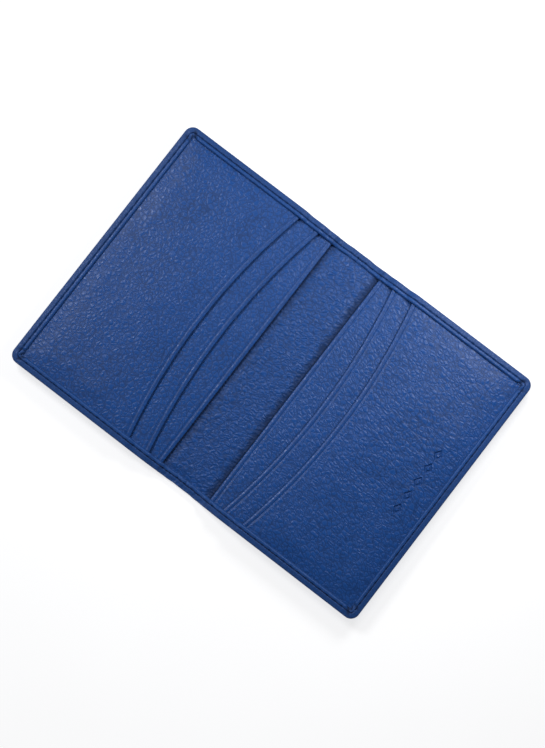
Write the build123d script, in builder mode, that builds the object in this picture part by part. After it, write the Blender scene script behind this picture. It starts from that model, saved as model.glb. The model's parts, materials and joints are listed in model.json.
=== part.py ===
"""Bifold leather card holder, open flat: two wings of card pockets joined by a soft spine.

The holder lies with its inside up. X runs across the fold, Y along it and Z up. The origin is on the
underside at the middle of the fold. The right wing is modelled and the left wing is its mirror image.
"""

import os

from build123d import *

os.makedirs("parts", exist_ok=True)

# Overall size, mm
open_width = 145.0  # both wings and the spine, across the fold
fold_length = 100.0  # along the fold
corner_radius = 3.2  # outer corners, seen from above

# Materials, mm
cover_leather = 0.9
pocket_leather = 0.6
pocket_fabric = 0.15
lining_fabric = 0.2
backing_board = 0.4

# A bank card, and the room that a slot gives it, mm
card_length = 85.6
card_thickness = 0.76
card_face_play = 0.1  # across the card's thickness
card_side_play = 2.4  # along the card's long side

# Pocket mouths, measured from the fold's middle line, mm
rear_mouth = 10.1
middle_mouth = 15.1  # where the arc meets the hem
middle_bow = 5.4  # how far the arc reaches past its ends
front_mouth = 23.2
front_bow = 5.7
mouth_turn = 1.7  # width of the turned edge, with a crease behind it
mouth_bevel = 0.2  # on the mouth's upper edge
crease_width = 0.3
crease_depth = 0.12
facing_cover = 11.0  # how far a facing runs on under the next mouth

# Hem, the cover's edge turned over the pockets, mm
hem_width = 3.5
edge_round = 0.8
hem_bend = 5.0  # radius where the hem climbs from the spine to the wing
hem_run_in = 1.2  # from the fold line to the foot of that climb
panel_edge_gap = 0.2  # between a panel's edge and the inside of the cover's edge

# Pocket floors, mm
seam_margin = 5.0  # from the outer edge to the front slot's floor
floor_step = 1.5  # each deeper slot ends this much sooner
floor_seam = 3.0  # cloth past a slot's floor
lining_reach = 18.0  # how far the centre lining runs out from the middle of the fold

# Thread, mm
stitch_inset = 2.0  # stitch line, from the outer edge
stitch_pitch = 2.95
stitch_length = 2.3
thread_width = 0.5
thread_sink = 0.05  # how far the thread lies below the leather's surface
groove_width = 0.7
groove_depth = 0.35
seam_inset = 0.7  # floor stitching, from the slot's floor
seam_thread = 0.15  # height of the floor stitching

# Debossed row of lozenges on the right front panel, mm
mark_inset = 11.0  # from the outer edge to the middle of the row
mark_count = 5
mark_pitch = 5.6
mark_long = 4.0
mark_wide = 2.6
mark_depth = 0.15

# Fold, mm
fold_clearance = 0.05  # from the spine's highest point to the two fold axes
closed_gap = 0.3  # between the two wings when the holder is shut

# Heights of the layers
board_top = cover_leather + backing_board
slot_floor = board_top + lining_fabric
slot_gap = card_thickness + card_face_play
pocket_rise = slot_gap + pocket_fabric + pocket_leather
rear_top = slot_floor + pocket_rise
middle_top = rear_top + pocket_rise
front_top = middle_top + pocket_rise
wing_top = front_top + cover_leather
spine_top = slot_floor + cover_leather

# The fold axes stand so far apart that the shut wings lie closed_gap from each other
fold_z = spine_top + fold_clearance
fold_x = wing_top + closed_gap / 2 - fold_z

# Places in plan
half_width = open_width / 2
half_length = fold_length / 2
cavity_x = half_width - cover_leather
cavity_y = half_length - cover_leather
panel_x = cavity_x - panel_edge_gap
panel_y = cavity_y - panel_edge_gap
panel_corner = corner_radius - cover_leather
slot_y = (card_length + card_side_play) / 2
front_floor = half_width - seam_margin
middle_floor = front_floor - floor_step
rear_floor = middle_floor - floor_step
rear_facing_end = middle_mouth + middle_bow + facing_cover
middle_facing_end = front_mouth + front_bow + facing_cover
climb_start = fold_x + hem_run_in


def save(built, name):
    """Label a finished piece and write it under its own name."""
    built.part.label = name
    export_step(built.part, f"parts/{name}.step")


def hem_line(rise, end_x):
    """Line that follows the hem from the fold line to end_x, this far above the topmost panel."""
    return [
        (fold_x, slot_floor + rise),
        (climb_start, slot_floor + rise),
        (rear_mouth, rear_top + rise),
        (middle_mouth, middle_top + rise),
        (front_mouth, front_top + rise),
        (end_x, front_top + rise),
    ]


def side_profile(low, high, bend=0.0):
    """Face in the XZ plane between two lines given from the fold outward, with its inner corners rounded."""
    with BuildSketch(Plane.XZ) as face:
        with BuildLine():
            Polyline(*low, *reversed(high), close=True)
        make_face()
        if bend:
            inner = face.vertices().filter_by_position(Axis.X, climb_start - 0.1, front_mouth + 0.1)
            fillet(inner, bend)
    return face.sketch


def panel_outline(mouth_x, bow, end_x, corner=0.0):
    """Outline of a pocket panel: its mouth on the fold side, its far edge at end_x."""
    with BuildSketch() as outline:
        with BuildLine():
            if bow:
                ThreePointArc((mouth_x, -panel_y), (mouth_x + bow, 0), (mouth_x, panel_y))
            else:
                Line((mouth_x, -panel_y), (mouth_x, panel_y))
            Polyline((mouth_x, panel_y), (end_x, panel_y), (end_x, -panel_y), (mouth_x, -panel_y))
        make_face()
        if corner:
            fillet(outline.vertices().group_by(Axis.X)[-1], corner)
    return outline.sketch


def mouth_crease(mouth_x, bow, end_x):
    """Thin band that follows a mouth, just behind its turned edge."""
    with BuildSketch() as band:
        add(panel_outline(mouth_x + mouth_turn - crease_width, bow, end_x))
        add(panel_outline(mouth_x + mouth_turn, bow, end_x), mode=Mode.SUBTRACT)
    return band.sketch


def slot_rim(mouth_x, bow, floor_x, end_x, corner=0.0):
    """Seam allowance round a slot: its two sides and its floor, open at the mouth."""
    with BuildSketch() as rim:
        add(panel_outline(mouth_x + mouth_turn, bow, end_x, corner))
        with Locations((floor_x / 2, 0)):
            Rectangle(floor_x, 2 * slot_y, mode=Mode.SUBTRACT)
    return rim.sketch


def leather_panel(mouth_x, bow, end_x, top, corner=0.0):
    """Leather of one pocket, with a bevelled mouth and a crease behind its turned edge."""
    with BuildPart() as panel:
        with BuildSketch(Plane.XY.offset(top - pocket_leather)):
            add(panel_outline(mouth_x, bow, end_x, corner))
        extrude(amount=pocket_leather)
        chamfer(panel.edges().group_by(Axis.Z)[-1].sort_by(Axis.X)[0], mouth_bevel)
        with BuildSketch(Plane.XY.offset(top)):
            add(mouth_crease(mouth_x, bow, end_x))
        extrude(amount=-crease_depth, mode=Mode.SUBTRACT)
    return panel


def slip_pocket(mouth_x, bow, floor_x, end_x, top, below, corner=0.0):
    """Cloth of one pocket: a sheet under the leather and the seam allowance that closes the slot."""
    sheet_z = top - pocket_leather - pocket_fabric
    with BuildPart() as pocket:
        with BuildSketch(Plane.XY.offset(slot_floor)):
            add(slot_rim(mouth_x, bow, floor_x, end_x, corner))
        extrude(amount=sheet_z - slot_floor)
        with BuildSketch(Plane.XY.offset(sheet_z)):
            add(panel_outline(mouth_x + mouth_turn, bow, end_x, corner))
        extrude(amount=pocket_fabric)
        for layer in below:
            add(layer.part, mode=Mode.SUBTRACT)
    return pocket


def flat_layer(start_x, end_x, low, thickness, corner=0.0):
    """Flat sheet between two places across the fold, as long as the panels are."""
    with BuildPart() as layer:
        with BuildSketch(Plane.XY.offset(low)) as outline:
            with Locations(((start_x + end_x) / 2, 0)):
                Rectangle(end_x - start_x, 2 * panel_y)
            if corner:
                fillet(outline.vertices().group_by(Axis.X)[-1], corner)
        extrude(amount=thickness)
    return layer


def rim_edges(solid):
    """The outer edges of a cover piece, above and below, but not those on a fold line."""
    level = solid.edges().filter_by(Axis.Z, reverse=True)
    sides = level.filter_by(lambda e: abs(e.center().Y) > half_length - corner_radius)
    ends = level.filter_by(lambda e: abs(e.center().X) > half_width - corner_radius)
    return ShapeList(set(sides) | set(ends))


def stitch_ring():
    """Plan of the groove that the edge stitching lies in."""
    middle = 2 * stitch_inset
    with BuildSketch() as ring:
        outer = corner_radius - stitch_inset + groove_width / 2
        RectangleRounded(open_width - middle + groove_width, fold_length - middle + groove_width, outer)
        inner = outer - groove_width
        RectangleRounded(
            open_width - middle - groove_width,
            fold_length - middle - groove_width,
            inner,
            mode=Mode.SUBTRACT,
        )
    return ring.sketch


def groove(low, high, bend=0.0):
    """Stitch groove: the ring where it lies between two hem lines, and the same below."""
    with BuildPart() as cut:
        with BuildSketch():
            add(stitch_ring())
        extrude(amount=wing_top + cover_leather)
        extrude(side_profile(low, high, bend), amount=half_length, both=True, mode=Mode.INTERSECT)
        with BuildSketch():
            add(stitch_ring())
        extrude(amount=groove_depth)
    return cut


def stitch_row(start, end):
    """Number and spacing of the stitches between two places on a line."""
    count = round((end - start) / stitch_pitch)
    return count, (end - start) / count


def stitches(plan, low, high, bend=0.0):
    """Edge stitching over a plan of dashes: on the hem between two lines, and on the underside."""
    with BuildPart() as thread:
        with BuildSketch():
            add(plan)
        extrude(amount=wing_top)
        extrude(side_profile(low, high, bend), amount=half_length, both=True, mode=Mode.INTERSECT)
        with BuildSketch(Plane.XY.offset(thread_sink)):
            add(plan)
        extrude(amount=groove_depth - thread_sink)
    return thread


def pocket_space():
    """Room inside the right cover, between its back and its hem."""
    back = [(fold_x, cover_leather), (cavity_x, cover_leather)]
    with BuildPart() as space:
        extrude(side_profile(back, hem_line(0, cavity_x)), amount=cavity_y, both=True)
        fillet(space.edges().filter_by(Axis.Z).group_by(Axis.X)[-1], panel_corner)
    return space


# Right cover, with its hem
with BuildPart() as right_cover:
    underside = [(fold_x, 0), (half_width, 0)]
    outside = hem_line(cover_leather, half_width)
    extrude(side_profile(underside, outside, hem_bend), amount=half_length, both=True)
    fillet(right_cover.edges().filter_by(Axis.Z).group_by(Axis.X)[-1], corner_radius)
    fillet(rim_edges(right_cover), edge_round)
    add(pocket_space().part, mode=Mode.SUBTRACT)
    window_x = half_width - hem_width
    with BuildSketch(Plane.XY.offset(cover_leather)):
        with Locations(((fold_x + window_x) / 2, 0)):
            Rectangle(window_x - fold_x, fold_length - 2 * hem_width)
    extrude(amount=wing_top, mode=Mode.SUBTRACT)
    groove_bottom = hem_line(cover_leather - groove_depth, half_width)
    above_hem = hem_line(2 * cover_leather, half_width)
    add(groove(groove_bottom, above_hem, hem_bend).part, mode=Mode.SUBTRACT)

# Right board, lining and the wing part of the centre lining
right_backing_board = flat_layer(lining_reach, panel_x, cover_leather, backing_board, panel_corner)
right_lining = flat_layer(lining_reach, panel_x, board_top, lining_fabric, panel_corner)
centre_leather = backing_board + lining_fabric  # level with the lining beside it
right_centre_lining = flat_layer(fold_x, lining_reach, cover_leather, centre_leather)

# Right pockets, from the back to the front
right_rear_facing = leather_panel(rear_mouth, 0, rear_facing_end, rear_top)
right_middle_facing = leather_panel(middle_mouth, middle_bow, middle_facing_end, middle_top)
right_front_panel = leather_panel(front_mouth, front_bow, panel_x, front_top, panel_corner)
right_rear_cloth = slip_pocket(rear_mouth, 0, rear_floor, rear_floor + floor_seam, rear_top, [])
right_middle_cloth = slip_pocket(
    middle_mouth,
    middle_bow,
    middle_floor,
    middle_floor + floor_seam,
    middle_top,
    [right_rear_cloth, right_rear_facing],
)
right_front_cloth = slip_pocket(
    front_mouth,
    front_bow,
    front_floor,
    panel_x,
    front_top,
    [right_rear_cloth, right_rear_facing, right_middle_cloth, right_middle_facing],
    panel_corner,
)

# Right stitching: round the hem, and along the floors of the two deeper slots
stitch_x = half_width - stitch_inset
stitch_y = half_length - stitch_inset
straight_x = half_width - corner_radius
straight_y = half_length - corner_radius
side_count, side_pitch = stitch_row(fold_x, straight_x)
end_count, end_pitch = stitch_row(-straight_y, straight_y)
with BuildSketch() as right_dashes:
    with Locations(((fold_x + straight_x) / 2, stitch_y), ((fold_x + straight_x) / 2, -stitch_y)):
        with GridLocations(side_pitch, 1, side_count, 1):
            SlotOverall(stitch_length, thread_width)
    with Locations((stitch_x, 0)):
        with GridLocations(1, end_pitch, 1, end_count):
            SlotOverall(stitch_length, thread_width, rotation=90)
thread_top = hem_line(cover_leather - thread_sink, half_width)
right_edge_stitching = stitches(right_dashes.sketch, groove_bottom, thread_top, hem_bend)

seam_count, seam_pitch = stitch_row(-slot_y, slot_y)
with BuildPart() as right_floor_stitching:
    for floor_x, pocket_top in ((rear_floor, rear_top), (middle_floor, middle_top)):
        with BuildSketch(Plane.XY.offset(pocket_top - pocket_leather)):
            with Locations((floor_x + seam_inset, 0)):
                with GridLocations(1, seam_pitch, 1, seam_count):
                    SlotOverall(stitch_length, thread_width, rotation=90)
        extrude(amount=seam_thread)

# The left wing mirrors the right one
right_wing = {
    "cover": right_cover,
    "backing_board": right_backing_board,
    "lining": right_lining,
    "centre_lining": right_centre_lining,
    "rear_pocket_cloth": right_rear_cloth,
    "rear_pocket_facing": right_rear_facing,
    "middle_pocket_cloth": right_middle_cloth,
    "middle_pocket_facing": right_middle_facing,
    "front_pocket_cloth": right_front_cloth,
    "front_pocket_panel": right_front_panel,
    "edge_stitching": right_edge_stitching,
    "floor_stitching": right_floor_stitching,
}
for piece_name, right_piece in right_wing.items():
    with BuildPart() as left_piece:
        add(mirror(right_piece.part, about=Plane.YZ, mode=Mode.PRIVATE))
    save(left_piece, f"left_{piece_name}")

# Debossed row of lozenges, on the right wing only
with BuildPart() as marked_panel:
    add(right_front_panel.part)
    with BuildSketch(Plane.XY.offset(front_top)):
        with Locations((half_width - mark_inset, 0)):
            with GridLocations(1, mark_pitch, 1, mark_count):
                Polygon((-mark_wide / 2, 0), (0, -mark_long / 2), (mark_wide / 2, 0), (0, mark_long / 2))
    extrude(amount=-mark_depth, mode=Mode.SUBTRACT)
right_wing["front_pocket_panel"] = marked_panel
for piece_name, right_piece in right_wing.items():
    save(right_piece, f"right_{piece_name}")

# Spine: cover, lining and stitching between the two fold lines
spine_bottom = [(-fold_x, 0), (fold_x, 0)]
spine_hem = [(-fold_x, spine_top), (fold_x, spine_top)]
with BuildPart() as spine_cover:
    extrude(side_profile(spine_bottom, spine_hem), amount=half_length, both=True)
    fillet(rim_edges(spine_cover).filter_by(Axis.X), edge_round)
    with BuildSketch(Plane.XY.offset(cover_leather)):
        Rectangle(2 * fold_x, 2 * cavity_y)
    extrude(amount=centre_leather, mode=Mode.SUBTRACT)
    with BuildSketch(Plane.XY.offset(cover_leather)):
        Rectangle(2 * fold_x, fold_length - 2 * hem_width)
    extrude(amount=spine_top, mode=Mode.SUBTRACT)
    spine_groove_bottom = [(-fold_x, spine_top - groove_depth), (fold_x, spine_top - groove_depth)]
    spine_above = [(-fold_x, spine_top + cover_leather), (fold_x, spine_top + cover_leather)]
    add(groove(spine_groove_bottom, spine_above).part, mode=Mode.SUBTRACT)
save(spine_cover, "spine_cover")

spine_centre_lining = flat_layer(-fold_x, fold_x, cover_leather, centre_leather)
save(spine_centre_lining, "spine_centre_lining")

spine_count, spine_pitch = stitch_row(-fold_x, fold_x)
with BuildSketch() as spine_dashes:
    with GridLocations(spine_pitch, 2 * stitch_y, spine_count, 2):
        SlotOverall(stitch_length, thread_width)
spine_thread_top = [(-fold_x, spine_top - thread_sink), (fold_x, spine_top - thread_sink)]
spine_edge_stitching = stitches(spine_dashes.sketch, spine_groove_bottom, spine_thread_top)
save(spine_edge_stitching, "spine_edge_stitching")
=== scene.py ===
"""Blue leather bifold card holder, open flat with its inside up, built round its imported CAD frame.

Lengths are millimetres until a mesh is made, which is in metres. Shapes are worked out for the right wing,
with x from the fold outward, and side -1 mirrors them into the left wing.
"""

import json
import math

import bmesh
import bpy
import numpy as np
from mathutils import Matrix, Vector


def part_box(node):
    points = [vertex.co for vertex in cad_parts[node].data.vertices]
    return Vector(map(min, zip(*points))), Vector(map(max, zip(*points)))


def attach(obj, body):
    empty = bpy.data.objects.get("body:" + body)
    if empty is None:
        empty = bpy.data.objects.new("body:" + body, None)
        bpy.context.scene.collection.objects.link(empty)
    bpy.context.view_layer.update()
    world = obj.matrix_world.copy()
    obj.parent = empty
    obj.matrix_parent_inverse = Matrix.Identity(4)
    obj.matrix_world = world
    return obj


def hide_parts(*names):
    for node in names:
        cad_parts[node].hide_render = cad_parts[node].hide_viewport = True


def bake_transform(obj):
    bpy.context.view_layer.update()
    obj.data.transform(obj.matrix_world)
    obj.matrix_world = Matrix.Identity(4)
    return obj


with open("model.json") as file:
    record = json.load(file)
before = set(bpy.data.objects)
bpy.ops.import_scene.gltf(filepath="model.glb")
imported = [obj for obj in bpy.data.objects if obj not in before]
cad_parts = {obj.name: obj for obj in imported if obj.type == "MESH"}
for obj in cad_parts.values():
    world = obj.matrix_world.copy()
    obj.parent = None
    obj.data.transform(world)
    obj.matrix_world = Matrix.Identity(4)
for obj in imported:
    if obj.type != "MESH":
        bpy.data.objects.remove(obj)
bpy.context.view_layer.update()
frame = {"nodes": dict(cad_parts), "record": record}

MM = 0.001
SIDES = {"left": -1, "right": 1}
nodes = frame["nodes"]
mounts = {mount["name"]: mount for mount in frame["record"]["mounts"]}


# ---------------------------------------------------------------- sizes, read from the frame


def corners(node):
    """Lowest and highest corner of a CAD node, in millimetres."""
    low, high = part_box(node)
    return np.array(low) / MM, np.array(high) / MM


def pocket(place, node):
    """Sizes of one pocket's leather: its mouth's ends and middle, its far edge and its top."""
    low, high = corners(f"right_{node}")
    middle = mounts[f"right_{place}_slot"]["pos_m"][0] / MM
    return {"node": node, "end": low[0], "bow": middle - low[0], "far": high[0], "top": high[2]}


half_width, half_length, wing_top = corners("right_cover")[1]
lining_low, lining_high = corners("right_centre_lining")
skin = lining_low[2]  # thickness of the cover's leather
slot_floor = lining_high[2]
lining_reach = lining_high[0]
panel_x, panel_y, front_top = corners("right_front_pocket_panel")[1]
pockets = {
    "rear": pocket("rear", "rear_pocket_facing"),
    "middle": pocket("middle", "middle_pocket_facing"),
    "front": pocket("front", "front_pocket_panel"),
}
leather_gauge = front_top - corners("right_front_pocket_panel")[0][2]

# Sizes of the leatherwork itself
corner_radius = 3.2
hem_width = 3.5
stitch_inset = 2.0
stitch_pitch = 2.95
climb = 2.4  # run over which the hem climbs on to the next pocket
fold_reach = 8.0  # the soft bend ends this far from the middle of the fold
AT_FOLD = [0, 0.04, 0.12]  # close steps, so that the two halves shade alike where they meet

# Debossed row on the right front panel
mark_inset = 11.0  # from the wing's outer edge to the row
mark_pitch = 5.6
mark_half_width, mark_half_length = 1.55, 2.2
mark_zone = 14.5  # the finer mesh reaches this far to either side of the row's middle


# ---------------------------------------------------------------- shape helpers


def wing_name(side):
    """The wing's name, as it stands in the names of pieces."""
    return "left" if side < 0 else "right"


def smoothstep(low, high, value):
    """0 below low, 1 above high, smooth between."""
    t = np.clip((np.asarray(value, float) - low) / (high - low), 0, 1)
    return t * t * (3 - 2 * t)


def hump(value, centre, width):
    """Rounded hump of height 1."""
    return np.exp(-(((value - centre) / width) ** 2))


def noise(x, y, seed):
    """Smooth lumps between about -1 and 1, one lump to a unit of x and y."""
    rng = np.random.default_rng(seed)
    angles = rng.random(256) * 2 * math.pi
    order = rng.permutation(256)
    x, y = np.broadcast_arrays(np.asarray(x, float), np.asarray(y, float))
    cell_x, cell_y = np.floor(x).astype(int), np.floor(y).astype(int)
    in_x, in_y = x - cell_x, y - cell_y

    def corner(i, j):
        angle = angles[order[(order[(cell_x + i) & 255] + cell_y + j) & 255]]
        return np.cos(angle) * (in_x - i) + np.sin(angle) * (in_y - j)

    ease_x = in_x**3 * (in_x * (in_x * 6 - 15) + 10)
    ease_y = in_y**3 * (in_y * (in_y * 6 - 15) + 10)
    low = corner(0, 0) * (1 - ease_x) + corner(1, 0) * ease_x
    high = corner(0, 1) * (1 - ease_x) + corner(1, 1) * ease_x
    return 1.4 * (low * (1 - ease_y) + high * ease_y)


def rough(x, y, seed, octaves=3):
    """Noise with finer and finer noise on it."""
    return sum(noise(x * 2**i, y * 2**i, seed + i) / 2**i for i in range(octaves))


def creases(x, y, seed, width=0.25):
    """Network of narrow valleys: 1 in a valley, 0 on the leather between."""
    return np.clip(1 - np.abs(noise(x, y, seed)) / width, 0, 1) ** 2


def curve_through(points, steps):
    """Smooth line through points, with this many steps between each two (Catmull-Rom)."""
    p = np.array(points, float)
    p = np.vstack([2 * p[0] - p[1], p, 2 * p[-1] - p[-2]])
    t = (np.arange(steps) / steps)[:, None]
    made = []
    for a, b, c, d in zip(p[:-3], p[1:-2], p[2:-1], p[3:]):
        square, cube = 2 * a - 5 * b + 4 * c - d, 3 * b - a - 3 * c + d
        made.append(0.5 * (2 * b + (c - a) * t + square * t**2 + cube * t**3))
    return np.vstack(made + [p[-2:-1]])


def run(start, end, pitch):
    """Evenly spaced places from start to end, about pitch apart."""
    return np.linspace(start, end, max(2, round(abs(end - start) / pitch) + 1))


class Surface:
    """Mesh made from grids of points and flat caps, which are joined where their points meet."""

    def __init__(self):
        self.points, self.faces, self.caps = [], [], []
        self.tones = {"painted_shade": [], "calm": []}
        self.count = 0

    def _add(self, points, painted_shade, calm=0.0):
        points = np.asarray(points, float)
        self.points.append(points.reshape(-1, 3))
        for tones, tone in ((self.tones["painted_shade"], painted_shade), (self.tones["calm"], calm)):
            tones.append(np.clip(np.broadcast_to(tone, points.shape[:-1]).reshape(-1), 0, 1))
        first = self.count
        self.count += len(self.points[-1])
        return np.arange(first, self.count).reshape(points.shape[:-1])

    def grid(self, points, painted_shade=0.0, calm=0.0, wrap=False):
        """Quads over a grid of points; wrap joins the last column to the first."""
        index = self._add(points, painted_shade, calm)
        if wrap:
            index = np.hstack([index, index[:, :1]])
        quads = np.stack([index[:-1, :-1], index[1:, :-1], index[1:, 1:], index[:-1, 1:]], axis=-1)
        self.faces += quads.reshape(-1, 4).tolist()

    def cap(self, points):
        """One flat face with sharp edges."""
        self.caps.append(len(self.faces))
        self.faces.append(self._add(points, 0.0).tolist())

    def piece(self, name, material, side=1):
        """The finished object, in metres, mirrored into the left wing where side is -1."""
        mesh = bpy.data.meshes.new(name)
        mesh.from_pydata((np.vstack(self.points) * (side * MM, MM, MM)).tolist(), [], self.faces)
        for key, tones in self.tones.items():
            tone = mesh.attributes.new(key, "FLOAT", "POINT")
            tone.data.foreach_set("value", np.concatenate(tones).astype(np.float32))
        bm = bmesh.new()
        bm.from_mesh(mesh)
        bm.faces.ensure_lookup_table()
        for edge in {e for i in self.caps for e in bm.faces[i].edges}:
            edge.smooth = False
        for face in bm.faces:
            face.smooth = True
        bmesh.ops.remove_doubles(bm, verts=bm.verts, dist=0.002 * MM)
        bmesh.ops.recalc_face_normals(bm, faces=bm.faces)
        bm.to_mesh(mesh)
        bm.free()
        mesh.materials.append(material)
        made = bpy.data.objects.new(name, mesh)
        bpy.context.scene.collection.objects.link(made)
        return made


def bend_at_fold(piece, side):
    """Half of a piece that crosses the fold, met by its other half at x = 0: its transform is baked into
    its mesh.
    """
    if side < 0:
        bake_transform(piece)
    else:
        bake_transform(piece)


# ---------------------------------------------------------------- shader helpers


def wire(tree, kind, inputs, **settings):
    """New shader node with its settings, and values or links on its inputs."""
    made = tree.nodes.new(kind)
    for key, value in settings.items():
        setattr(made, key, value)
    for key, value in inputs.items():
        if isinstance(value, bpy.types.NodeSocket):
            tree.links.new(value, made.inputs[key])
        else:
            made.inputs[key].default_value = value
    return made


def blank(name):
    """New material: its node tree, its Principled shader and its place in millimetres."""
    material = bpy.data.materials.new(name)
    material.use_nodes = True
    tree = material.node_tree
    shader = tree.nodes["Principled BSDF"]
    place = wire(tree, "ShaderNodeTexCoord", {}).outputs["Object"]
    in_mm = wire(tree, "ShaderNodeVectorMath", {0: place, "Scale": 1 / MM}, operation="SCALE").outputs[0]
    return material, tree, shader, in_mm


def mix(tree, amount, low, high):
    """Colour between low and high."""
    return wire(tree, "ShaderNodeMix", {0: amount, 6: low, 7: high}, data_type="RGBA").outputs[2]


def math_node(tree, operation, *values):
    """Result of one sum on the values, each a number or a socket."""
    return wire(tree, "ShaderNodeMath", dict(enumerate(values)), operation=operation).outputs[0]


def vector_node(tree, operation, *values):
    """Result of one sum on the values, each a vector or a socket."""
    return wire(tree, "ShaderNodeVectorMath", dict(enumerate(values)), operation=operation).outputs[0]


def noise_node(tree, place, scale, detail, **more):
    """Outputs of a noise texture over a place."""
    inputs = {"Vector": place, "Scale": scale, "Detail": detail, **more}
    return wire(tree, "ShaderNodeTexNoise", inputs).outputs


def ramp(tree, value, low, high, to_low=0.0, to_high=1.0):
    """value from low..high to to_low..to_high, eased at both ends."""
    ends = {"Value": value, "From Min": low, "From Max": high, "To Min": to_low, "To Max": to_high}
    return wire(tree, "ShaderNodeMapRange", ends, interpolation_type="SMOOTHSTEP").outputs[0]


def shades(color, *factors):
    """The colour times each factor, with alpha."""
    return [(*(c * f for c in color), 1.0) for f in factors]


def finish_material(tree, shader, tone, relief_of, depth, strength=1.0):
    """Gives a shader its colour and its relief, whose depth is in mm."""
    bump = {"Strength": strength, "Distance": depth * MM, "Height": relief_of}
    relief = wire(tree, "ShaderNodeBump", bump)
    tree.links.new(tone, shader.inputs["Base Color"])
    tree.links.new(relief.outputs[0], shader.inputs["Normal"])


# Heights of a leather's pores and of its folds, as shares of the height of a grain cell
PORES, FOLDS = 0.5, 2.4
SWAY = (1.2, 1.2, 1.2)  # how far noise bends the net of grain cells, in cells


def leather(name, color, size, depth, stretch=(1.0, 1.0), slant=0.0, roughness=0.33, folds=0.5):
    """Pebbled leather: grain cells of a size, in mm, longer where stretched, with crevices and pores.

    The attribute of painted shade deepens the colour towards a shade colour and dulls the gloss. "calm"
    smooths the grain, as on a pressed edge.
    """
    material, tree, shader, place = blank(name)
    turn = {"Vector": place, "Rotation": (0, 0, math.radians(slant))}
    slanted = wire(tree, "ShaderNodeMapping", turn, vector_type="POINT").outputs[0]
    scale = (1 / (size * stretch[0]), 1 / (size * stretch[1]), 1 / size)
    cells = vector_node(tree, "MULTIPLY", slanted, scale)
    sway = noise_node(tree, cells, 0.7, 2.0)["Color"]
    bent = vector_node(tree, "MULTIPLY_ADD", sway, SWAY, cells)
    net = wire(tree, "ShaderNodeTexVoronoi", {"Vector": bent, "Scale": 1.0}, feature="DISTANCE_TO_EDGE")
    pebble = ramp(tree, net.outputs["Distance"], 0.0, 0.42)
    crevice = ramp(tree, net.outputs["Distance"], 0.0, 0.16)
    pores = noise_node(tree, place, 2.4, 4.0, Roughness=0.6)["Fac"]
    wave = noise_node(tree, bent, 0.55, 2.0)["Fac"]
    patch = noise_node(tree, place, 0.09, 2.0)["Fac"]

    # Relief, worn flatter in patches and nearly smooth where calm
    calm = wire(tree, "ShaderNodeAttribute", {}, attribute_name="calm").outputs["Fac"]
    in_patches, where_calm = ramp(tree, patch, 0.35, 0.65, 0.6, 1.0), ramp(tree, calm, 0.0, 1.0, 1.0, 0.15)
    worn = math_node(tree, "MULTIPLY", in_patches, where_calm)
    height = math_node(tree, "MULTIPLY_ADD", pores, PORES, pebble)
    height = math_node(tree, "MULTIPLY_ADD", wave, FOLDS * folds, height)
    height = math_node(tree, "MULTIPLY", height, worn)

    # Colour: painted shade deep in the crevices, lighter between the pores and in patches
    crevice_shade_colour, body, light, painted_shade_colour = shades(color, 0.56, 1.0, 1.2, 0.26)
    filled = math_node(tree, "MAXIMUM", crevice, math_node(tree, "MULTIPLY", calm, 0.6))
    tone = mix(tree, filled, crevice_shade_colour, body)
    tone = mix(tree, ramp(tree, pores, 0.45, 0.75, 0.0, 0.35), tone, light)
    tone = mix(tree, ramp(tree, patch, 0.3, 0.7, 0.0, 0.25), tone, light)
    # Painted shade from the mesh: it deepens the colour towards a shade colour and dulls the gloss
    painted_shade = wire(tree, "ShaderNodeAttribute", {}, attribute_name="painted_shade").outputs["Fac"]
    tone = mix(tree, painted_shade, tone, painted_shade_colour)
    dull = ramp(tree, pebble, 0.0, 1.0, min(1.0, roughness + 0.15), roughness)
    dull = math_node(tree, "MULTIPLY_ADD", painted_shade, 0.3, dull)
    tree.links.new(dull, shader.inputs["Roughness"])
    finish_material(tree, shader, tone, height, depth)
    shader.inputs["Specular IOR Level"].default_value = 0.27
    return material


def woven(name, color, pitch):
    """Plain weave: two sets of threads that pass over and under each other, in mm."""
    material, tree, shader, place = blank(name)
    turn = 2 * math.pi / pitch
    split = wire(tree, "ShaderNodeSeparateXYZ", {0: place}).outputs
    across = math_node(tree, "SINE", math_node(tree, "MULTIPLY", split["X"], turn))
    along = math_node(tree, "SINE", math_node(tree, "MULTIPLY", split["Y"], turn))
    weave = ramp(tree, math_node(tree, "MULTIPLY", across, along), -0.8, 0.8)
    slub = noise_node(tree, place, 1.2, 3.0)["Fac"]
    low, high, lit = shades(color, 0.7, 1.25, 1.5)
    tone = mix(tree, weave, low, high)
    tone = mix(tree, ramp(tree, slub, 0.35, 0.65, 0.0, 0.4), tone, lit)
    finish_material(tree, shader, tone, weave, 0.05, 0.9)
    shader.inputs["Roughness"].default_value = 0.85
    shader.inputs["Sheen Weight"].default_value = 0.25
    return material


def bonded_board(name, color):
    """Raw bonded leather board: matted fibres with darker flecks."""
    material, tree, shader, place = blank(name)
    fibre = noise_node(tree, place, 2.6, 6.0, Distortion=1.5)["Fac"]
    fleck = wire(tree, "ShaderNodeTexVoronoi", {"Vector": place, "Scale": 1.4}).outputs["Distance"]
    low, high, flecked = shades(color, 0.7, 1.2, 0.4)
    tone = mix(tree, ramp(tree, fibre, 0.35, 0.7), low, high)
    tone = mix(tree, ramp(tree, fleck, 0.05, 0.2, 0.6, 0.0), tone, flecked)
    finish_material(tree, shader, tone, fibre, 0.06, 0.8)
    shader.inputs["Roughness"].default_value = 0.9
    return material


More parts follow.
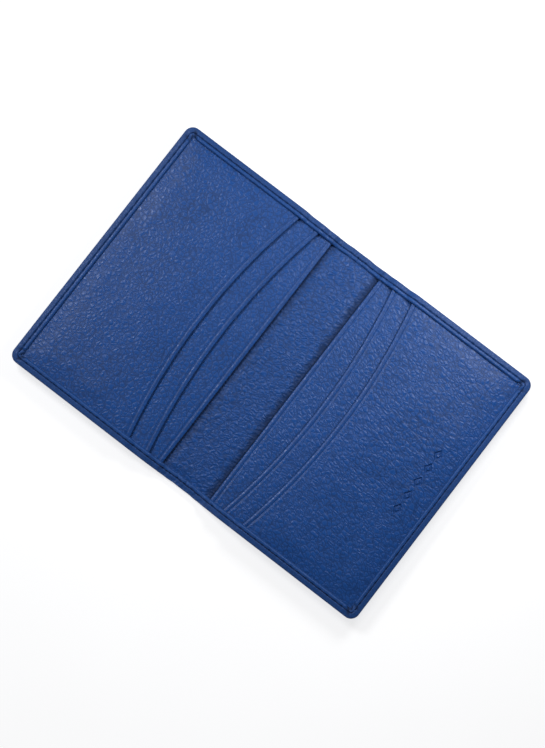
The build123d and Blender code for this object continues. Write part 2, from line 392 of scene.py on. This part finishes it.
def waxed_thread(name, color):
    """Waxed thread: fine fibres, lighter where they stand up."""
    material, tree, shader, place = blank(name)
    fibre = noise_node(tree, place, 7.0, 3.0, Distortion=2.0)["Fac"]
    low, high = shades(color, 0.6, 1.6)
    tone = mix(tree, ramp(tree, fibre, 0.35, 0.7), low, high)
    finish_material(tree, shader, tone, fibre, 0.03, 0.8)
    shader.inputs["Roughness"].default_value = 0.6
    shader.inputs["Specular IOR Level"].default_value = 0.2
    return material


BLUE = (0.0125, 0.071, 0.28)
COVER = leather("cover_leather", (0.0165, 0.077, 0.285), 1.0, 0.08, roughness=0.34, folds=0.4)
CENTRE = leather("centre_leather", BLUE, 1.55, 0.14, (1.3, 0.82), slant=-16, roughness=0.3, folds=0.4)
POCKET = {
    "left": leather("left_pocket_leather", BLUE, 1.5, 0.085, slant=12, roughness=0.31, folds=0.3),
    "right": leather(
        "right_pocket_leather", BLUE, 1.45, 0.105, (1.25, 0.85), slant=20, roughness=0.3, folds=0.35
    ),
}
CLOTH = woven("pocket_cloth", (0.006, 0.018, 0.06), pitch=0.5)
BOARD = bonded_board("bonded_board", (0.42, 0.33, 0.22))
THREAD = waxed_thread("thread", (0.003, 0.017, 0.075))


# ---------------------------------------------------------------- hem and outer cover

LAY = 0.03  # the hem lies this far over what is under it, and rises this far over the CAD wing at most


def under_hem(x):
    """Height of the hem's underside, which climbs on to each pocket in turn just before its mouth."""
    step, reach = 0.1, 3.0
    fine = np.arange(-4.0, half_width + 4.0, step)
    steps_x, steps_z = [0], [slot_floor]
    for panel in pockets.values():
        steps_x += [panel["end"] - climb, panel["end"]]
        steps_z += [steps_z[-1], panel["top"]]
    line = np.interp(np.abs(fine), steps_x, steps_z)
    window = hump(np.arange(-reach, reach + 0.01, step), 0, 0.8)
    soft = np.convolve(np.pad(line, round(reach / step), mode="edge"), window / window.sum(), mode="valid")
    return np.interp(x, fine, soft) + LAY


# The hem's section, from the middle of the underside, round the outer edge, over the top and back inside.
# Each point is its distance inside the outline, its share of the hem's height, and a further height.
HEM_SECTION = [
    (6.0, 0, 0.0), (4.0, 0, 0.0), (2.7, 0, 0.0), (2.3, 0, 0.04), (2.0, 0, 0.3), (1.7, 0, 0.04),
    (1.1, 0, 0.02), (0.6, 0, 0.1), (0.2, 0, 0.38), (0.03, 0, 0.8), (0.06, 0.3, 0.6), (0.1, 0.55, 0.4),
    (0.05, 0.8, 0.12), (0.0, 1, -0.12), (0.1, 1, 0.32), (0.28, 1, 0.54), (0.55, 1, 0.64), (1.0, 1, 0.7),
    (1.5, 1, 0.76), (1.7, 1, 0.74), (1.88, 1, 0.6), (2.03, 1, 0.48), (2.16, 1, 0.63), (2.34, 1, 0.73),
    (2.6, 1, 0.765), (2.86, 1, 0.79), (3.12, 1, 0.68), (3.28, 1, 0.48), (3.43, 1, 0.22), (3.5, 1, 0.08),
    (3.4, 1, 0.02), (2.8, 1, 0.0), (1.6, 1, 0.0), (1.0, 1, -0.12), (0.9, 0.5, 0.45), (0.92, 0, 1.0),
    (1.2, 0, 0.9), (6.0, 0, 0.9),
]  # fmt: skip
FILL_INSET = HEM_SECTION[0][0]
OUTSIDE_TONE = 0.26  # the cover is painted this much darker everywhere but on its hem's ridge, which so carries a painted highlight
HEM_CALM = 0.75  # the hem's top is pressed smoother than the rest


def offset_radius(angle, inset):
    """Distance of the rounded outline, moved in by inset, from the corner's turning point at an angle."""
    radius = np.maximum(corner_radius - inset, 0)
    reach = FILL_INSET - inset
    centre = reach - radius
    cos, sin = np.cos(angle), np.sin(angle)
    straight = reach / np.maximum(cos, sin)
    rest = radius**2 - (centre * (cos - sin)) ** 2
    arc = centre * (cos + sin) + np.sqrt(np.maximum(rest, 0))
    on_arc = (rest >= 0) & (arc * cos >= centre) & (arc * sin >= centre)
    return np.where(on_arc, arc, straight)


def underside(x, y):
    """Shallow creases on the outside of the fold, as heights over the flat."""
    near = 1 - smoothstep(4.0, fold_reach + 3.0, np.abs(x))
    folds = creases(x / 1.7, y / 9.0, 31, 0.4)
    return 0.14 * near * folds


def spine_dip(x, sign):
    """How far the outline draws in beside the fold: it stands out a little at +Y and draws in at -Y."""
    reach, depth = 17, 0.36
    near = np.clip(1 - np.abs(x) / reach, 0, 1)
    return -sign * depth * smoothstep(0, 1, near) * (1 + 0.25 * noise(x / 2.4, 0.5, 7))


def at_rear_mouth(x):
    """1 where the rear pocket's mouth runs under the hem."""
    return hump(np.abs(x), pockets["rear"]["end"] - 0.2, 0.35)


def stitch_run(length):
    """Pitch that fits a whole number of stitches in a length."""
    return length / round(length / stitch_pitch)


def stitch_holes(distance, pitch):
    """1 at the holes between stitches, 0 under each stitch."""
    return np.abs(np.cos(math.pi * distance / pitch)) ** 12


def hem_relief(x, along, inset, holes, seed):
    """Heights that stitches, creases and handling give to the top of the hem."""
    pulled = -0.26 * holes * hump(inset, stitch_inset, 0.3)
    puckers = -0.05 * holes * hump(inset, 1.2, 0.6) - 0.05 * holes * hump(inset, 2.7, 0.3)
    waves = 0.05 * rough(along / 7, inset / 5, seed) - 0.02
    near = 1 - smoothstep(8.5, 11.5, np.abs(x))
    folds = -0.3 * near * creases(x / 1.9, inset / 6 + seed, seed + 5, 0.45)
    return pulled + puckers + waves + folds - 0.16 * at_rear_mouth(x)


def corner_pleats(turn, inset):
    """How the gathered leather of a corner lies: its height, and the painted shade in its valleys."""
    fan = np.sin(2 * turn) ** 0.6
    pleats = np.cos(4.3 * 2 * turn + 0.6) * fan
    notch = hump(turn, math.pi / 4, 0.3)[:, None] * smoothstep(2.2, 3.2, inset)
    height = (0.28 * pleats - 0.14 * fan)[:, None] * smoothstep(0.5, 3.0, inset) - 0.4 * notch
    valley = smoothstep(0.2, 1.0, -pleats)[:, None] * smoothstep(0.4, 1.8, inset)
    return height, 0.75 * valley + 0.9 * notch


def cover_half(side, material):
    """Half of the outer cover, from the middle of the fold to the wing's outer edge, with its hem."""
    section = curve_through(HEM_SECTION, 2)
    inset, share, rise = section.T
    on_top = share > 0.99
    on_sole = (share < 0.01) & (rise < 0.5)
    top = (on_top & (rise > 0.07)) * smoothstep(0.15, 0.6, inset)
    ridge_highlight = smoothstep(2.1, 2.35, inset) * (1 - smoothstep(3.15, 3.35, inset)) * top
    end_x, end_y = half_width - FILL_INSET, half_length - FILL_INSET
    across = np.concatenate([AT_FOLD, run(0.3, 12, 0.33), run(12, end_x, 0.42)[1:]])
    along = run(end_y, -end_y, 0.42)
    turns = np.radians(np.linspace(90, 0, 34)[1:-1])

    def strip(plan_x, plan_y, distance, holes, turn=None):
        """Points and painted shade of one stretch of the rim."""
        relief = hem_relief(plan_x, distance[:, None], inset, holes, 11 if side > 0 else 17)
        z = under_hem(plan_x) * share + rise + top * (1 - smoothstep(3.2, hem_width, inset)) * relief
        # Painted shade in the stitch groove, deepest at its holes, at the hem's inner step and where the
        # rear mouth runs under the hem
        painted_shade = (0.22 + 0.75 * holes) * hump(inset, stitch_inset, 0.24)
        painted_shade = painted_shade + 0.2 * smoothstep(3.3, hem_width, inset) + 0.3 * at_rear_mouth(plan_x)
        if turn is not None:
            height, valleys = corner_pleats(turn, inset)
            z = z + height * top
            # painted shade in the pleats' valleys
            painted_shade = painted_shade + valleys
        # all but the ridge is painted darker, so the ridge carries a painted highlight
        painted_shade = painted_shade * top + OUTSIDE_TONE * (1 - ridge_highlight)
        z = np.minimum(z, wing_top + LAY)
        z = z + np.where(on_sole, underside(plan_x, plan_y) * smoothstep(0.3, 1.0, inset), 0)
        return np.stack(np.broadcast_arrays(plan_x, plan_y, z), axis=-1), np.clip(painted_shade, 0, 1)

    def side_strip(sign):
        x = np.broadcast_to(across[:, None], (len(across), len(inset)))
        draw_in = spine_dip(x, sign) * (1 - smoothstep(3.0, FILL_INSET, inset))
        holes = stitch_holes(across, stitch_run(half_width - corner_radius))[:, None]
        return strip(x, sign * (half_length - inset - draw_in), across + (0 if sign > 0 else 400), holes)

    def corner_strip(sign):
        angle = turns if sign > 0 else turns[::-1]
        reach = offset_radius(angle[:, None], inset)
        x = end_x + reach * np.cos(angle)[:, None]
        y = sign * (end_y + reach * np.sin(angle)[:, None])
        return strip(x, y, 100 + angle * 2, 0.0, turn=angle)

    straight_y = half_length - corner_radius
    end_holes = stitch_holes(along + straight_y, stitch_run(2 * straight_y)) * (np.abs(along) < straight_y)
    end_plan = np.broadcast_to(half_width - inset, (len(along), len(inset)))
    end_strip = strip(end_plan, along[:, None], 200 - along, end_holes[:, None])
    stretches = [side_strip(1), corner_strip(1), end_strip]
    stretches += [corner_strip(-1), tuple(part[::-1] for part in side_strip(-1))]
    rim = np.vstack([points for points, _ in stretches])
    painted_shade = np.vstack([tone for _, tone in stretches])
    surface = Surface()
    surface.grid(rim, painted_shade, HEM_CALM * on_top)
    plan_x, plan_y = np.meshgrid(across, along, indexing="ij")
    floor = np.stack([plan_x, plan_y, np.full(plan_x.shape, skin)], axis=-1)
    sole = np.stack([plan_x, plan_y, underside(plan_x, plan_y)], axis=-1)
    # the floor and sole are painted darker too, away from the ridge's painted highlight
    surface.grid(floor, OUTSIDE_TONE)
    surface.grid(sole, OUTSIDE_TONE)
    surface.cap(np.vstack([rim[0], floor[0, 1:], rim[-1][::-1][1:], sole[0, ::-1][1:-1]]))
    name = wing_name(side)
    made = surface.piece(f"{name}_cover_skin", material, side)
    bend_at_fold(made, side)
    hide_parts(f"{name}_cover", "spine_cover")
    return made


# ---------------------------------------------------------------- pocket panels

# The turned edge of a mouth: distance from the mouth, and height over the panel's face
MOUTH_SECTION = [
    (0.1, -0.42), (0.0, -0.3), (0.05, -0.17), (0.15, -0.06), (0.3, 0.0), (0.5, 0.06), (0.7, 0.11),
    (0.95, 0.12), (1.2, 0.07), (1.42, 0.01), (1.56, -0.08), (1.68, -0.14), (1.85, -0.09), (2.05, -0.03),
    (2.25, 0.03), (2.45, 0.06), (2.8, 0.03), (3.3, 0.0), (4.0, 0.0), (8.0, 0.0),
]  # fmt: skip
MOUTH_BAND = MOUTH_SECTION[-1][0]


def mouth_line(panel, y):
    """How far from the fold a panel's mouth lies at y: an arc, or a straight line where there is no bow."""
    bow = panel["bow"]
    if bow < 0.01:
        return np.full(np.shape(y), panel["end"])
    radius = (panel_y**2 + bow**2) / (2 * bow)
    return panel["end"] + bow - radius + np.sqrt(radius**2 - np.asarray(y) ** 2)


def far_line(panel, y):
    """How far from the fold a panel ends at y, with its corners cut round at the outer seam."""
    if panel["far"] < panel_x - 0.1:
        return np.full(np.shape(y), panel["far"])
    radius = corner_radius - skin
    past = np.clip(np.abs(y) - (panel_y - radius), 0, radius)
    return panel_x - radius + np.sqrt(radius**2 - past**2)


def lozenges(x, y):
    """Depth, from 0 to 1, of the debossed row of five lozenge outlines."""
    nearest = np.clip(np.round(y / mark_pitch), -2, 2) * mark_pitch
    across, along = np.abs(x - half_width + mark_inset), np.abs(y - nearest)
    inside = 1 - across / mark_half_width - along / mark_half_length
    return smoothstep(0.0, 0.16, inside) * (1 - 0.75 * smoothstep(0.42, 0.6, inside))


def past_hem_edge(x, y):
    """How far a place lies past the hem's inner edge at the wing's outer side and at the holder's ends."""
    return x - (half_width - hem_width), np.abs(y) - (half_length - hem_width)


def panel_relief(side, place, x, y, from_mouth):
    """Height of handling, swelling and wrinkles over a panel's flat face."""
    swell = 0.0
    if place == "front":
        past_x, past_y = past_hem_edge(x, y)
        swell = 0.28 * smoothstep(3.0, 16.0, from_mouth)
        swell = swell * (1 - smoothstep(-6.5, -0.4, past_x)) * (1 - smoothstep(-6.0, -0.3, past_y))
        swell = swell * (1 + 0.5 * rough(x / 24, y / 24, 41 + side))
        swell = swell - 0.1 * (hump(past_y, 0, 0.7) + hump(past_x, 0, 0.7))
    strength = 1.0 if side > 0 else 0.45  # the left wing is the smoother one
    fanned = y + 0.3 * (x - 46) * smoothstep(-10, 40, y) * (side > 0) + 0.1 * side * x
    fine = rough(x / 2.6, fanned / 1.5, 51 + side, 2) * 0.045 * strength
    lines = creases(x / 4.2 + 0.3 * rough(x / 6, y / 6, 3), fanned / 1.8, 61 + side, 0.3) * 0.07 * strength
    behind_mouth = smoothstep(1.8, 2.6, from_mouth)
    drift = 0.05 * noise(x / 9, y / 13, 71 + side)
    sag = -0.25 * (1 - smoothstep(0.0, 6.0, from_mouth))
    return (fine - lines) * behind_mouth + drift + swell + sag


def shade_under(upper, x, y):
    """Painted shadow on the leather just outside and under the mouth of the pocket above it."""
    return 0.55 * smoothstep(-0.75, 0.05, x - mouth_line(pockets[upper], y))


def pocket_panel(side, place, panel, material):
    """Leather of one pocket: a turned mouth with a crease behind it, and a face that swells a little."""
    name = wing_name(side)
    marked = side > 0 and place == "front"
    middle = run(-mark_zone, mark_zone, 0.16 if marked else 0.45)[1:-1]
    lines = np.concatenate([run(-panel_y, -mark_zone, 0.45), middle, run(mark_zone, panel_y, 0.45)])
    turn = curve_through(MOUTH_SECTION, 3)
    turn = turn[: int(np.argmax(turn[:, 0] > 4.0)) + 1]
    u, over = turn.T
    near = np.concatenate([u, run(u[-1], MOUTH_BAND, 0.35)[1:]])
    over = np.concatenate([over, np.zeros(len(near) - len(over))])
    band_end = panel["end"] + panel["bow"] + MOUTH_BAND
    length = panel["far"] - band_end
    share = np.linspace(0, 1, round(max(length, 1) / 0.4) + 1)[1:]
    if marked:
        fine_from = (half_width - mark_inset - mark_half_length - band_end) / length
        fine_to = (half_width - mark_inset + mark_half_length - band_end) / length
        between = np.linspace(fine_from, fine_to, 28)
        share = np.concatenate([share[share < fine_from], between, share[share > fine_to]])
    y = lines[:, None]
    mouth, far = mouth_line(panel, y), far_line(panel, y)
    start = mouth + MOUTH_BAND
    x = np.hstack([mouth + near, start + (far - start) * share])
    from_mouth = x - mouth
    face = np.concatenate([over, np.zeros(len(share))])
    y = np.broadcast_to(y, x.shape)
    z = panel["top"] + face - 0.13 + panel_relief(side, place, x, y, from_mouth)
    past_x, past_y = past_hem_edge(x, y)
    # Painted shade in the crease behind the mouth and on the band before it, on the edge tucked under the
    # mouth, and beside the hem
    painted_shade = 0.25 * hump(from_mouth, 1.64, 0.14) + 0.12 * hump(from_mouth, 0.95, 0.4)
    painted_shade = painted_shade + 0.5 * (1 - smoothstep(-0.34, -0.24, face)) + 0.15 * smoothstep(-0.3, 0, past_y)
    calm = 0.6 * (1 - smoothstep(1.5, 2.6, from_mouth))
    if place == "front":
        painted_shade = painted_shade + 0.15 * smoothstep(-0.3, 0, past_x)
    else:
        painted_shade = painted_shade + shade_under("middle" if place == "rear" else "front", x, y)
    if marked:
        pressed = lozenges(x, y)
        z = z - 0.4 * pressed
        # painted shade in the pressed outlines
        painted_shade = painted_shade + 0.2 * pressed
        calm = np.maximum(calm, pressed)
    below = np.stack([x, y, np.minimum(panel["top"] - leather_gauge, z - 0.25)], axis=-1)[:, ::-6]
    ring = np.concatenate([np.stack([x, y, z], axis=-1), below], axis=1)
    flat = np.zeros(below.shape[:2])
    surface = Surface()
    # the hidden underside is painted in deep shade
    surface.grid(ring, np.hstack([painted_shade, flat + 0.7]), np.hstack([calm, flat]), wrap=True)
    surface.cap(ring[0])
    surface.cap(ring[-1])
    made = surface.piece(f"{name}_{place}_pocket_leather", material, side)
    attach(made, f"{name}_wing")
    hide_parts(f"{name}_{panel['node']}")
    return made


# ---------------------------------------------------------------- centre lining


def centre_half(side, material):
    """Half of the leather strip over the spine, wrinkled where it bends and flat under the pockets."""
    name = wing_name(side)
    edge_y = panel_y - 0.7
    across = np.concatenate([AT_FOLD, run(0.3, lining_reach, 0.3)])
    along = run(-edge_y, edge_y, 0.34)
    x, y = np.meshgrid(across, along, indexing="ij")
    real_x = x * side
    past_mouth, past_hem = x - pockets["rear"]["end"], past_hem_edge(x, y)[1]
    free = (1 - smoothstep(-2.9, -0.5, past_mouth)) * (1 - smoothstep(-3.0, -0.2, past_hem))
    swell = 0.34 * free * (1 + 0.35 * noise(real_x / 12, y / 15, 81))
    bend = (y - 0.3 * real_x) / 1.6 + 0.8 * rough(real_x / 5, y / 5, 83)
    wrinkles = creases(real_x / 4.6 + 0.6 * rough(real_x / 4, y / 4, 85), bend, 87, 0.42)
    wrinkle_depth = 0.15 * (0.55 + 0.75 * smoothstep(3, 9, x))
    relief = 0.05 * rough(real_x / 1.9, y / 1.1, 89, 2) - wrinkle_depth * wrinkles
    top = slot_floor - 0.02 + swell + relief * (1 - smoothstep(-0.3, 0.5, past_mouth))
    top = np.minimum(top, slot_floor + 0.55)
    shade = 0.78 if side > 0 else 0.5  # painted shade beside the rear mouths, deeper beside the right one, which faces away from the lights
    painted_shade = shade * smoothstep(-3.3, -0.4, past_mouth + 0.9 * rough(real_x / 3, y / 3, 91))
    # More painted shade in the wrinkles, under the rear pocket's mouth and beside the hem
    painted_shade = painted_shade + 0.16 * wrinkles + shade_under("rear", x, y) + 0.15 * smoothstep(-0.5, 0, past_hem)
    surface = Surface()
    bottom = np.stack([x, y, np.full(x.shape, skin)], axis=-1)
    upper = np.stack([x, y, top], axis=-1)
    surface.grid(upper, np.clip(painted_shade, 0, 1))
    surface.grid(bottom)
    for end in ((slice(None), 0), (slice(None), -1), (-1,)):
        surface.grid(np.stack([bottom[end], upper[end]]))
    surface.cap(np.vstack([upper[0], bottom[0][::-1]]))
    made = surface.piece(f"{name}_centre_lining_skin", material, side)
    bend_at_fold(made, side)
    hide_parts(f"{name}_centre_lining", "spine_centre_lining")
    return made


# ---------------------------------------------------------------- edge stitching


thread_radius = 0.2
on_hem, on_sole = 0.5, 0.24  # heights of the thread over the hem's underside and over the floor


def stitch(surface, middle, heading, length, slope=0.0):
    """One stitch: a two-ply run of thread that arches out of one hole and into the next."""
    t = np.linspace(-1, 1, 11)
    around = np.linspace(0, 2 * math.pi, 10, endpoint=False)
    thick = thread_radius * np.sqrt(np.clip(1.02 - np.abs(t) ** 5, 0.05, 1))
    radius = thick[:, None] * (1 + 0.13 * np.cos(2 * (around[None] - 4.0 * t[:, None])))
    forward = np.array([heading[0], heading[1], slope])
    sideways = np.array([-heading[1], heading[0], 0.0])
    line = np.array(middle) + forward * (t * length / 2)[:, None]
    line[:, 2] -= 0.16 * np.abs(t) ** 3
    ply = np.cos(around)[:, None] * sideways + np.sin(around)[:, None] * (0, 0, 0.8)
    ring = line[:, None] + radius[..., None] * ply
    surface.grid(ring, 0.0, wrap=True)
    surface.cap(ring[0])
    surface.cap(ring[-1])


def edge_thread(side, material):
    """All the stitches of one half of the holder, on the hem and on the outside."""
    name = wing_name(side)
    length = stitch_pitch * 0.8
    line_x, line_y = half_width - stitch_inset, half_length - stitch_inset
    straight_x, straight_y = half_width - corner_radius, half_length - corner_radius
    pitch = stitch_run(straight_x)
    places = []
    for x in np.arange(pitch / 2, straight_x, pitch):
        places += [((x, sign * (line_y - float(spine_dip(x, sign)))), (1.0, 0.0)) for sign in (1, -1)]
    pitch = stitch_run(2 * straight_y)
    places += [((line_x, y), (0.0, 1.0)) for y in np.arange(pitch / 2 - straight_y, straight_y, pitch)]
    diagonal = math.sqrt(0.5)
    bend = (corner_radius - stitch_inset) * diagonal
    for sign in (1, -1):
        places.append(((straight_x + bend, sign * (straight_y + bend)), (diagonal, -sign * diagonal)))
    surface = Surface()
    for (x, y), heading in places:
        rise = float(under_hem(x + 0.5) - under_hem(x - 0.5)) * heading[0]
        stitch(surface, (x, y, float(under_hem(x)) + on_hem), heading, length, rise)
        stitch(surface, (x, y, on_sole), heading, length)
    made = surface.piece(f"{name}_edge_thread", material, side)
    bend_at_fold(made, side)
    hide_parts(f"{name}_edge_stitching", "spine_edge_stitching")
    return made


# ---------------------------------------------------------------- pieces

for wing, side in SIDES.items():
    cover_half(side, COVER)
    centre_half(side, CENTRE)
    edge_thread(side, THREAD)
    for place, panel in pockets.items():
        pocket_panel(side, place, panel, POCKET[wing])

KEPT = {
    "backing_board": BOARD,
    "lining": CLOTH,
    "rear_pocket_cloth": CLOTH,
    "middle_pocket_cloth": CLOTH,
    "front_pocket_cloth": CLOTH,
    "floor_stitching": THREAD,
}
for wing in SIDES:
    for node, material in KEPT.items():
        slots = nodes[f"{wing}_{node}"].data.materials
        slots.clear()
        slots.append(material)


# ---------------------------------------------------------------- floor, light and camera


def pale_floor():
    """Wide pale floor just under the holder, partly lit by itself so that its shadow stays faint."""
    half, level = 4.0, -0.05 * MM
    mesh = bpy.data.meshes.new("floor")
    square = [(-half, -half, level), (half, -half, level), (half, half, level), (-half, half, level)]
    mesh.from_pydata(square, [], [(0, 1, 2, 3)])
    floor = bpy.data.objects.new("floor", mesh)
    bpy.context.scene.collection.objects.link(floor)
    material, tree, shader, place = blank("pale_floor")
    speckle = noise_node(tree, place, 0.02, 2.0)["Fac"]
    tone = mix(tree, speckle, (0.40, 0.40, 0.41, 1), (0.43, 0.43, 0.44, 1))
    tree.links.new(tone, shader.inputs["Base Color"])
    shader.inputs["Roughness"].default_value = 0.9
    shader.inputs["Specular IOR Level"].default_value = 0.1
    shader.inputs["Emission Color"].default_value = (1, 1, 1, 1)
    shader.inputs["Emission Strength"].default_value = 0.76
    mesh.materials.append(material)


def soft_box(name, place, size, power):
    """Square area light that faces the holder and isn't itself seen."""
    lamp = bpy.data.lights.new(name, "AREA")
    lamp.size, lamp.energy = size, power
    holder = bpy.data.objects.new(name, lamp)
    holder.location = place
    holder.rotation_euler = (-Vector(place)).to_track_quat("-Z", "Y").to_euler()
    holder.visible_camera = False
    bpy.context.scene.collection.objects.link(holder)


def studio_world():
    """Even surroundings, brighter near the horizon than overhead."""
    world = bpy.data.worlds.new("studio")
    world.use_nodes = True
    tree = world.node_tree
    way = wire(tree, "ShaderNodeTexCoord", {}).outputs["Generated"]
    up = wire(tree, "ShaderNodeSeparateXYZ", {0: way})
    tone = mix(tree, ramp(tree, up.outputs["Z"], 0.05, 0.9), (0.3, 0.31, 0.33, 1), (0.035, 0.037, 0.042, 1))
    tree.links.new(tone, tree.nodes["Background"].inputs["Color"])
    bpy.context.scene.world = world


def camera():
    """Camera almost straight above, turned so that the fold runs up to the right."""
    azimuth, tilt, roll = math.radians(-48.37), math.radians(5.75), math.radians(37.547)
    target, distance = Vector((0.79 * MM, -0.28 * MM, 0)), 700.2 * MM
    back = Vector((math.sin(tilt) * math.cos(azimuth), math.sin(tilt) * math.sin(azimuth), math.cos(tilt)))
    right = Vector((-math.sin(roll), math.cos(roll), 0)).cross(back).normalized()
    data = bpy.data.cameras.new("camera")
    data.lens, data.sensor_width = 100, 36
    made = bpy.data.objects.new("camera", data)
    made.matrix_world = Matrix((right, back.cross(right), back)).transposed().to_4x4()
    made.location = target + back * distance
    bpy.context.scene.collection.objects.link(made)
    bpy.context.scene.camera = made


pale_floor()
soft_box("key_light", (0.04, 0.1, 0.13), 0.06, 0.16)
soft_box("side_light", (-0.215, 0.03, 0.32), 0.1, 0.67)
studio_world()
camera()
bpy.context.scene.view_settings.view_transform = "Standard"
